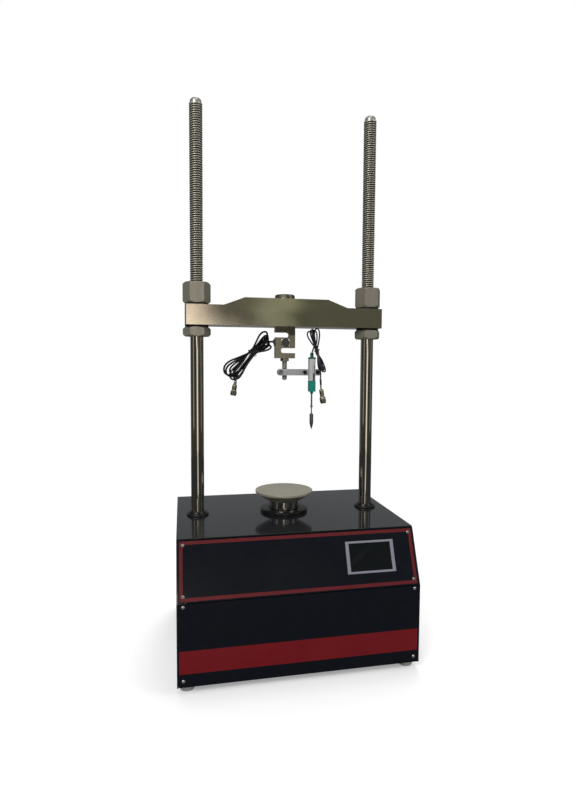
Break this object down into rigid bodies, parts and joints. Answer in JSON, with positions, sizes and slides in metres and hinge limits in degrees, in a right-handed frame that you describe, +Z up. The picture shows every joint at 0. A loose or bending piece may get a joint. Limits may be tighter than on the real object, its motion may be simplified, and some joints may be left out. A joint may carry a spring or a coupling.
{
  "type": "triaxial test apparatus",
  "caption": "Bench load frame for triaxial tests: screw-driven ram and platen, twin columns, clamped crosshead with load cell and displacement transducer.",
  "frame": {"origin": "centre of the overall box in X and Y, on the surface that the feet stand on", "axes": "+X to the right of the person at the panel, +Y away from them, +Z up"},
  "size_m": [0.506, 0.4004, 1.237],
  "materials": {
    "gloss_black_paint": "gloss black enamel on folded steel",
    "zinc_steel": "bright zinc plate",
    "screw_steel": "nickel-plated steel",
    "display_surround": "silver-grey satin",
    "display_glass": "dark glass over a switched-off display",
    "machined_steel": "machined",
    "polished_chrome": "hard chrome, polished",
    "black_oxide": "black oxide",
    "bronze": "sintered bronze",
    "satin_nickel": "satin nickel plate, slightly warm",
    "nut_steel": "turned steel, nickel plate",
    "bright_nickel": "bright nickel plate",
    "motor_black": "satin black",
    "board_green": "solder mask",
    "case_aluminium": "natural anodised",
    "black_plastic": "moulded",
    "green_plastic": "moulded teal green",
    "black_jacket": "smooth cable jacket",
    "navy_jacket": "smooth dark cable jacket"
  },
  "bodies": {
    "root": {"panel_screws": "screw_steel", "side_panel_left": "gloss_black_paint", "side_panel_right": "gloss_black_paint", "base_plate": "zinc_steel", "deck_cover": "gloss_black_paint", "lower_panel": "gloss_black_paint", "rear_panel": "zinc_steel", "control_panel": "gloss_black_paint", "display_frame": "display_surround", "touch_display": "display_glass", "lower_beam": "machined_steel", "frame_legs": "zinc_steel", "frame_fasteners": "zinc_steel", "column_left": "polished_chrome", "column_right": "polished_chrome", "column_collars": "black_oxide", "ram_collar": "black_oxide", "ram_bush": "bronze", "jack_housing": "machined_steel", "travel_sensors": "bright_nickel", "screw_bearings": "machined_steel", "jack_plate": "machined_steel", "gearmotor": "motor_black", "control_board": "board_green", "power_supply": "case_aluminium", "motor_drive": "motor_black", "mains_inlet": "black_plastic", "sensor_sockets": "bright_nickel", "levelling_feet": "zinc_steel"},
    "crosshead_group": {"crosshead": "satin_nickel", "crosshead_washers": "black_oxide", "centre_bolt": "nut_steel", "load_cell": "satin_nickel", "cell_covers": "motor_black", "cell_stud": "satin_nickel", "cell_lock_nut": "screw_steel", "cell_cable_hank": "black_jacket", "cell_cable_lead": "black_jacket", "cell_connector": "bright_nickel"},
    "upper_nut_left_body": {"upper_nut_left": "nut_steel"},
    "upper_nut_right_body": {"upper_nut_right": "nut_steel"},
    "lower_nut_left_body": {"lower_nut_left": "nut_steel"},
    "lower_nut_right_body": {"lower_nut_right": "nut_steel"},
    "ram_group": {"ram": "polished_chrome", "platen": "satin_nickel", "ram_nut": "bronze"},
    "jack_screw_group": {"jack_screw": "machined_steel", "drive_gear": "machined_steel"},
    "pinion_body": {"motor_pinion": "machined_steel"},
    "arm_group": {"transducer_arm": "case_aluminium", "transducer_clips": "case_aluminium", "arm_screws": "black_oxide"},
    "transducer_group": {"transducer_body": "case_aluminium", "transducer_lower_cap": "green_plastic", "transducer_top_cap": "green_plastic", "transducer_cable_hank": "navy_jacket", "transducer_cable_leads": "navy_jacket", "transducer_connector": "bright_nickel"},
    "plunger_body": {"plunger": "bright_nickel"},
    "rocker_body": {"power_rocker": "black_plastic"}
  },
  "joints": [
    {"name": "upper_nut_left_spin", "type": "hinge", "parent": "crosshead_group", "child": "upper_nut_left_body", "pos_m": [-0.205, 0.021, 0.81], "axis": [0, 0, 1], "range_deg": [0, 25920]},
    {"name": "upper_nut_right_spin", "type": "hinge", "parent": "crosshead_group", "child": "upper_nut_right_body", "pos_m": [0.205, 0.021, 0.81], "axis": [0, 0, 1], "range_deg": [0, 25920]},
    {"name": "lower_nut_left_spin", "type": "hinge", "parent": "crosshead_group", "child": "lower_nut_left_body", "pos_m": [-0.205, 0.021, 0.722], "axis": [0, 0, 1], "range_deg": [0, 25920]},
    {"name": "lower_nut_right_spin", "type": "hinge", "parent": "crosshead_group", "child": "lower_nut_right_body", "pos_m": [0.205, 0.021, 0.722], "axis": [0, 0, 1], "range_deg": [0, 25920]},
    {"name": "crosshead_slide", "type": "slide", "parent": "root", "child": "crosshead_group", "axis": [0, 0, 1], "range_m": [0, 0.36]},
    {"name": "jack_screw_spin", "type": "hinge", "parent": "root", "child": "jack_screw_group", "pos_m": [0, 0.021, 0.036], "axis": [0, 0, 1], "range_deg": [-7200, 0]},
    {"name": "ram_slide", "type": "slide", "parent": "root", "child": "ram_group", "axis": [0, 0, 1], "range_m": [0, 0.1]},
    {"name": "motor_pinion_spin", "type": "hinge", "parent": "root", "child": "pinion_body", "pos_m": [-0.096, 0.021, 0.036], "axis": [0, 0, 1], "range_deg": [0, 21600]},
    {"name": "arm_swivel", "type": "hinge", "parent": "crosshead_group", "child": "arm_group", "pos_m": [0, 0.021, 0.63], "axis": [0, 0, 1], "range_deg": [-90, 90]},
    {"name": "transducer_slide", "type": "slide", "parent": "arm_group", "child": "transducer_group", "axis": [0, 0, 1], "range_m": [-0.02, 0]},
    {"name": "plunger_slide", "type": "slide", "parent": "transducer_group", "child": "plunger_body", "axis": [0, 0, 1], "range_m": [0, 0.025], "stiffness_N_per_m": 50, "springref_m": -0.02},
    {"name": "rocker_tilt", "type": "hinge", "parent": "root", "child": "rocker_body", "pos_m": [0.17, 0.1937, 0.133], "axis": [1, 0, 0], "range_deg": [-20, 0]}
  ],
  "couplings": [
    {"joint": "upper_nut_right_spin", "follows": "upper_nut_left_spin", "ratio": 1},
    {"joint": "lower_nut_left_spin", "follows": "upper_nut_left_spin", "ratio": 1},
    {"joint": "lower_nut_right_spin", "follows": "upper_nut_left_spin", "ratio": 1},
    {"joint": "crosshead_slide", "follows": "upper_nut_left_spin", "m_per_rad": 0.00079577},
    {"joint": "ram_slide", "follows": "jack_screw_spin", "m_per_rad": -0.00079577},
    {"joint": "motor_pinion_spin", "follows": "jack_screw_spin", "ratio": -3}
  ]
}
